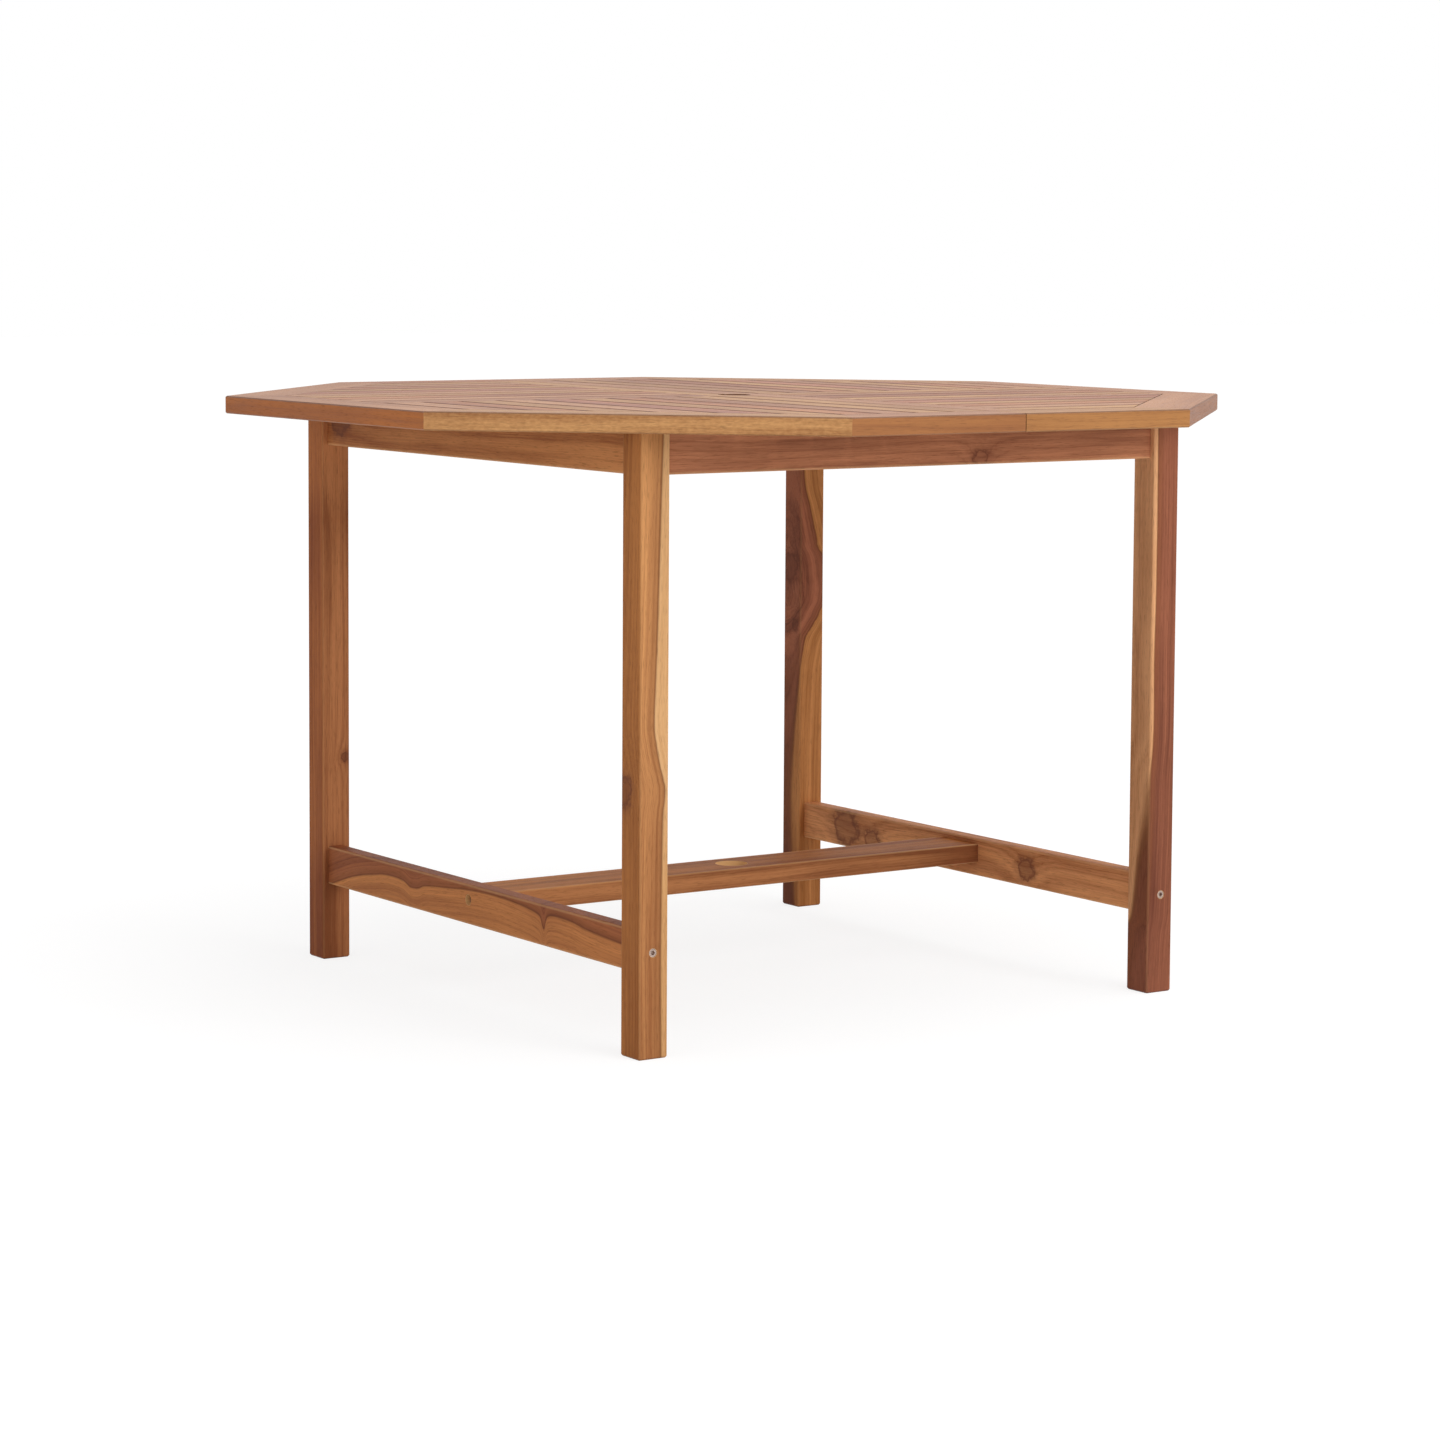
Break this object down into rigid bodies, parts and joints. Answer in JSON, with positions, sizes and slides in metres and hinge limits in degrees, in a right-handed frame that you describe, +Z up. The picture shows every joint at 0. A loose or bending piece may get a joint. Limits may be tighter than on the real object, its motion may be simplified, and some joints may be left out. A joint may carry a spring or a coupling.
{
  "type": "octagonal slatted umbrella table",
  "caption": "Octagonal slatted hardwood garden table with two joined top leaves, square legs, a lower H of rails and an umbrella hole through top and stretcher.",
  "frame": {"origin": "floor point under the middle of the tabletop, on the umbrella axis", "axes": "+Z up; +X along the centre stretcher, from the left end rail to the right one; -Y towards the front apron"},
  "size_m": [1.2, 1.2, 0.75],
  "materials": {
    "teak_legs": "oiled satin",
    "teak_aprons": "oiled satin",
    "teak_rails": "oiled satin",
    "teak_rim": "oiled satin",
    "teak_slats": "oiled satin",
    "teak_underside": "sanded, thin oil",
    "beech_dowels": "raw",
    "steel_bolts": "zinc plated",
    "zinc_fasteners": "zinc plated"
  },
  "bodies": {
    "root": {"apron_back": "teak_aprons", "apron_front": "teak_aprons", "apron_left": "teak_aprons", "apron_right": "teak_aprons", "centre_stretcher": "teak_rails", "corner_block_back_left": "teak_underside", "corner_block_back_right": "teak_underside", "corner_block_front_left": "teak_underside", "corner_block_front_right": "teak_underside", "cross_rail_left": "teak_slats", "cross_rail_right": "teak_slats", "end_rail_left": "teak_rails", "end_rail_right": "teak_rails", "hanger_nuts": "zinc_fasteners", "hanger_rods": "zinc_fasteners", "hanger_washers": "zinc_fasteners", "leaf_stile_left": "teak_slats", "leaf_stile_right": "teak_slats", "leg_back_left": "teak_legs", "leg_back_right": "teak_legs", "leg_front_left": "teak_legs", "leg_front_right": "teak_legs", "rail_barrel_nuts": "zinc_fasteners", "rail_bolts": "steel_bolts", "rail_dowels": "beech_dowels", "rim_back_half_left": "teak_rim", "rim_back_half_right": "teak_rim", "rim_corner_back_left": "teak_rim", "rim_corner_back_right": "teak_rim", "rim_corner_front_left": "teak_rim", "rim_corner_front_right": "teak_rim", "rim_front_half_left": "teak_rim", "rim_front_half_right": "teak_rim", "rim_left": "teak_rim", "rim_right": "teak_rim", "slat_across_1": "teak_slats", "slat_across_2": "teak_slats", "slat_across_3": "teak_slats", "slat_across_4": "teak_slats", "slat_across_5": "teak_slats", "slat_across_6": "teak_slats", "slat_across_7": "teak_slats", "slat_across_8": "teak_slats", "slat_across_9": "teak_slats", "slat_along_1": "teak_slats", "slat_along_2": "teak_slats", "slat_along_3": "teak_slats", "slat_along_4": "teak_slats", "slat_along_5": "teak_slats", "slat_along_6": "teak_slats", "slat_along_7": "teak_slats", "slat_along_8": "teak_slats", "slat_along_9": "teak_slats", "stretcher_barrel_nuts": "zinc_fasteners", "stretcher_bolts": "steel_bolts", "stretcher_dowels": "beech_dowels", "top_batten_back": "teak_underside", "top_batten_front": "teak_underside", "top_screws": "zinc_fasteners"}
  },
  "joints": []
}
